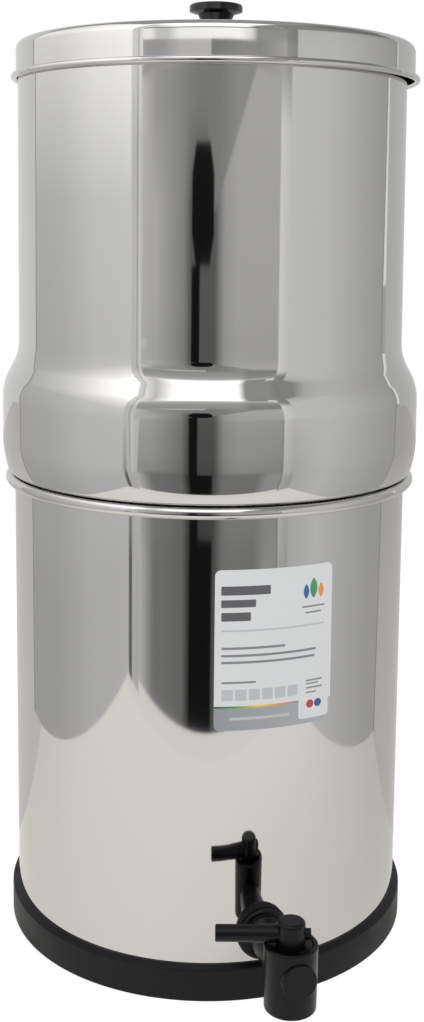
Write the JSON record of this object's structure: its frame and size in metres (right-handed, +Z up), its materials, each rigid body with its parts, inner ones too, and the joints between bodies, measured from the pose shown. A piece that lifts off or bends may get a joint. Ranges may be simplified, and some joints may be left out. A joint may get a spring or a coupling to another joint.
{
  "type": "gravity water filter with tap",
  "caption": "Polished steel drip water filter: a lidded upper chamber with ceramic candles stands on a lower chamber with a lever tap in a black base ring.",
  "frame": {"origin": "on the vessel's axis, on the surface that the base ring stands on", "axes": "+Z up along the vessel's axis, -Y towards the front that carries the label; the tap points 15.4 degrees to the right of it, towards +X"},
  "size_m": [0.2278, 0.2748, 0.5036],
  "materials": {
    "polished_steel": "mirror-polished stainless steel",
    "screw_steel": "turned stainless steel",
    "base_rubber": "moulded black rubber, satin",
    "tap_plastic": "moulded black plastic, half gloss",
    "lever_plastic": "moulded black plastic, satin",
    "knob_plastic": "black phenolic plastic, glossy",
    "label_film": "printed film label, satin",
    "seal_rubber": "black rubber, matte",
    "seal_silicone": "red silicone, matte",
    "candle_ceramic": "unglazed porous ceramic",
    "candle_carbon": "pressed carbon block, matte",
    "candle_plastic": "moulded off-white plastic, satin"
  },
  "bodies": {
    "vessel": {"base_ring": "base_rubber", "lower_chamber": "polished_steel", "product_label": "label_film", "tap_body": "tap_plastic", "tap_outer_washer": "seal_rubber", "tap_inner_washer": "seal_rubber", "tap_nut": "tap_plastic"},
    "tap_valve": {"tap_plug": "tap_plastic", "tap_lever": "lever_plastic", "plug_o_ring": "seal_rubber"},
    "upper": {"upper_chamber": "polished_steel", "candle_shell_left": "candle_ceramic", "candle_core_left": "candle_carbon", "candle_mount_left": "candle_plastic", "candle_seal_left": "seal_silicone", "candle_wing_nut_left": "candle_plastic", "candle_shell_right": "candle_ceramic", "candle_core_right": "candle_carbon", "candle_mount_right": "candle_plastic", "candle_seal_right": "seal_silicone", "candle_wing_nut_right": "candle_plastic"},
    "cover": {"lid": "polished_steel", "lid_knob": "knob_plastic", "knob_washer": "seal_rubber", "knob_screw": "screw_steel"}
  },
  "joints": [
    {"name": "tap_turn", "type": "hinge", "parent": "vessel", "child": "tap_valve", "pos_m": [0.04006, -0.14544, 0.052], "axis": [0, 0, 1], "range_deg": [0, 90]},
    {"name": "upper_lift", "type": "slide", "parent": "vessel", "child": "upper", "axis": [0, 0, 1], "range_m": [0, 0.08]},
    {"name": "lid_lift", "type": "slide", "parent": "upper", "child": "cover", "axis": [0, 0, 1], "range_m": [0, 0.06]}
  ]
}
